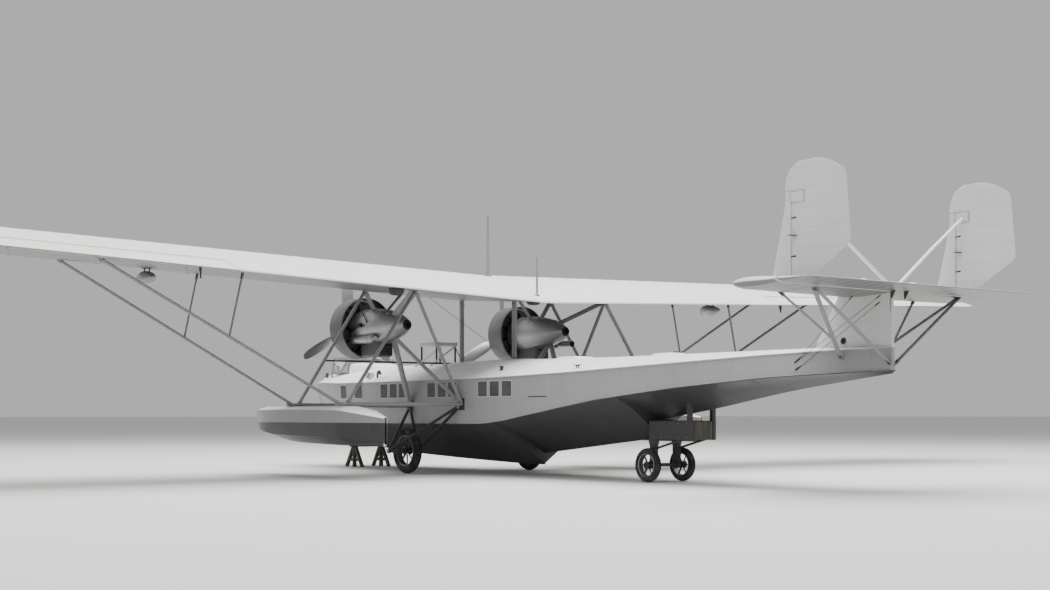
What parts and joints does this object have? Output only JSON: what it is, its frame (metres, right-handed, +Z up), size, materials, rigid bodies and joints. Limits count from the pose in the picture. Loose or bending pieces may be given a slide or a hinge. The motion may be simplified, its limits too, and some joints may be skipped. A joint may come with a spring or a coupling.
{
  "type": "flying boat",
  "caption": "Parasol-winged flying boat with nacelles on struts, wing floats and end fins on the tail, parked on beaching wheels, a tail dolly and a bow trestle.",
  "frame": {"origin": "middle of the bounding box on the ground plane that the wheels stand on", "axes": "+X towards the bow, +Y to port along the wing, +Z up"},
  "size_m": [18.8, 30.48, 5.5144],
  "materials": {
    "topside_paint": "satin light grey enamel, near-black below the chine",
    "doped_skin": "taut doped and painted covering over ribs, near white",
    "strut_paint": "satin mid grey",
    "white_paint": "satin white",
    "bare_metal": "dull sheet metal",
    "engine_iron": "dark cooling fins",
    "blade_metal": "polished forging",
    "gear_iron": "worn dark paint",
    "tyre_rubber": "dusty rubber on a spoked wheel",
    "timber": "weathered sawn timber",
    "seat_leather": "worn leather"
  },
  "bodies": {
    "root": {"boom_front_port": "strut_paint", "boom_front_starboard": "strut_paint", "boom_rear_port": "strut_paint", "boom_rear_starboard": "strut_paint", "bow_trestle": "timber", "cabane_front": "strut_paint", "cabane_rear": "strut_paint", "cockpit_fairing": "topside_paint", "cockpit_seats": "seat_leather", "deck_handrail": "strut_paint", "dolly_frame": "gear_iron", "engine_front_struts_port": "strut_paint", "engine_front_struts_starboard": "strut_paint", "engine_inner_strut_port": "strut_paint", "engine_inner_strut_starboard": "strut_paint", "engine_port": "engine_iron", "engine_rear_struts_port": "strut_paint", "engine_rear_struts_starboard": "strut_paint", "engine_starboard": "engine_iron", "fin_brace_port": "white_paint", "fin_brace_starboard": "white_paint", "fin_port": "topside_paint", "fin_starboard": "topside_paint", "float_port": "topside_paint", "float_starboard": "topside_paint", "hull": "topside_paint", "landing_light_port": "bare_metal", "landing_light_starboard": "bare_metal", "lift_strut_front_port": "strut_paint", "lift_strut_front_starboard": "strut_paint", "lift_strut_rear_port": "strut_paint", "lift_strut_rear_starboard": "strut_paint", "main_gear_leg_port": "gear_iron", "main_gear_leg_starboard": "gear_iron", "nacelle_lower_struts_port": "strut_paint", "nacelle_lower_struts_starboard": "strut_paint", "nacelle_port": "bare_metal", "nacelle_starboard": "bare_metal", "ring_cowl_port": "bare_metal", "ring_cowl_starboard": "bare_metal", "spreader_bar_port": "gear_iron", "spreader_bar_starboard": "gear_iron", "tail_pylon": "topside_paint", "tail_struts_port": "strut_paint", "tail_struts_starboard": "strut_paint", "tailplane": "doped_skin", "windscreen_frame": "bare_metal", "wing_centre": "doped_skin", "wing_port": "doped_skin", "wing_starboard": "doped_skin"},
    "propeller_port": {"propeller_port": "blade_metal"},
    "main_wheel_port": {"main_wheel_port": "tyre_rubber"},
    "rudder_port": {"rudder_port": "topside_paint"},
    "aileron_port": {"aileron_port": "doped_skin"},
    "propeller_starboard": {"propeller_starboard": "blade_metal"},
    "main_wheel_starboard": {"main_wheel_starboard": "tyre_rubber"},
    "rudder_starboard": {"rudder_starboard": "topside_paint"},
    "aileron_starboard": {"aileron_starboard": "doped_skin"},
    "dolly_wheels": {"dolly_wheels": "tyre_rubber"},
    "elevator": {"elevator": "doped_skin"}
  },
  "joints": [
    {"name": "propeller_port_spin", "type": "hinge", "parent": "root", "child": "propeller_port", "pos_m": [4.55, 2.09, 3.08], "axis": [1, 0, 0], "continuous": true},
    {"name": "main_wheel_port_spin", "type": "hinge", "parent": "root", "child": "main_wheel_port", "pos_m": [2.9, 1.62, 0.48], "axis": [0, 1, 0], "continuous": true},
    {"name": "rudder_port_swing", "type": "hinge", "parent": "root", "child": "rudder_port", "pos_m": [-8.32, 2, 3.62], "axis": [0, 0, 1], "range_deg": [-25, 25]},
    {"name": "aileron_port_tilt", "type": "hinge", "parent": "root", "child": "aileron_port", "pos_m": [0.722, 7.55, 3.91716], "axis": [0, 0.9994, 0.035], "range_deg": [-20, 20]},
    {"name": "propeller_starboard_spin", "type": "hinge", "parent": "root", "child": "propeller_starboard", "pos_m": [4.55, -2.09, 3.08], "axis": [1, 0, 0], "continuous": true},
    {"name": "main_wheel_starboard_spin", "type": "hinge", "parent": "root", "child": "main_wheel_starboard", "pos_m": [2.9, -1.62, 0.48], "axis": [0, 1, 0], "continuous": true},
    {"name": "rudder_starboard_swing", "type": "hinge", "parent": "root", "child": "rudder_starboard", "pos_m": [-8.32, -2, 3.62], "axis": [0, 0, 1], "range_deg": [-25, 25]},
    {"name": "aileron_starboard_tilt", "type": "hinge", "parent": "root", "child": "aileron_starboard", "pos_m": [0.722, -7.55, 3.91716], "axis": [0, 0.9994, -0.035], "range_deg": [-20, 20]},
    {"name": "dolly_wheels_spin", "type": "hinge", "parent": "root", "child": "dolly_wheels", "pos_m": [-3.31, 0, 0.315], "axis": [0, 1, 0], "continuous": true},
    {"name": "elevator_tilt", "type": "hinge", "parent": "root", "child": "elevator", "pos_m": [-8.65, 0, 3.23], "axis": [0, 1, 0], "range_deg": [-20, 25]}
  ],
  "couplings": [
    {"joint": "rudder_starboard_swing", "follows": "rudder_port_swing", "ratio": 1},
    {"joint": "aileron_starboard_tilt", "follows": "aileron_port_tilt", "ratio": -1}
  ]
}
